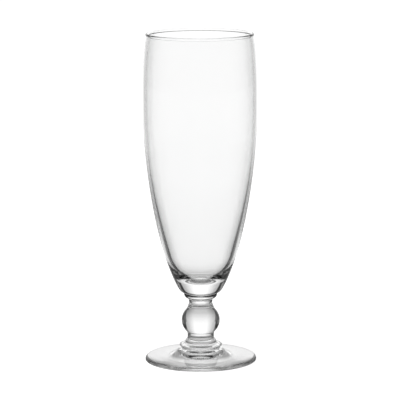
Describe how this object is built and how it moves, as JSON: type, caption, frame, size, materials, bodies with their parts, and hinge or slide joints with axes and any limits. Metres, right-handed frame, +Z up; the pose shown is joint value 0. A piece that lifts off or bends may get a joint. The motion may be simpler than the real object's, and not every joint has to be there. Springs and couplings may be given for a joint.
{
  "type": "footed juice glass",
  "caption": "Tall clear glass on a short stem, with an egg-shaped bowl, a ball knop between collars and a round tiered foot, for juice or other cold drinks.",
  "frame": {"origin": "centre of the foot, on the surface that the glass stands on", "axes": "+Z up along the axis that every piece is turned on; X and Y are alike"},
  "size_m": [0.0614, 0.0614, 0.18],
  "materials": {
    "foot_glass": "clear, fire-polished",
    "foot_collar_glass": "clear, fire-polished",
    "knop_glass": "clear, fire-polished",
    "bowl_collar_glass": "clear, fire-polished",
    "bowl_glass": "clear, fire-polished"
  },
  "bodies": {
    "root": {"foot": "foot_glass", "foot_collar": "foot_collar_glass", "ball_knop": "knop_glass", "bowl_collar": "bowl_collar_glass", "bowl": "bowl_glass"}
  },
  "joints": []
}
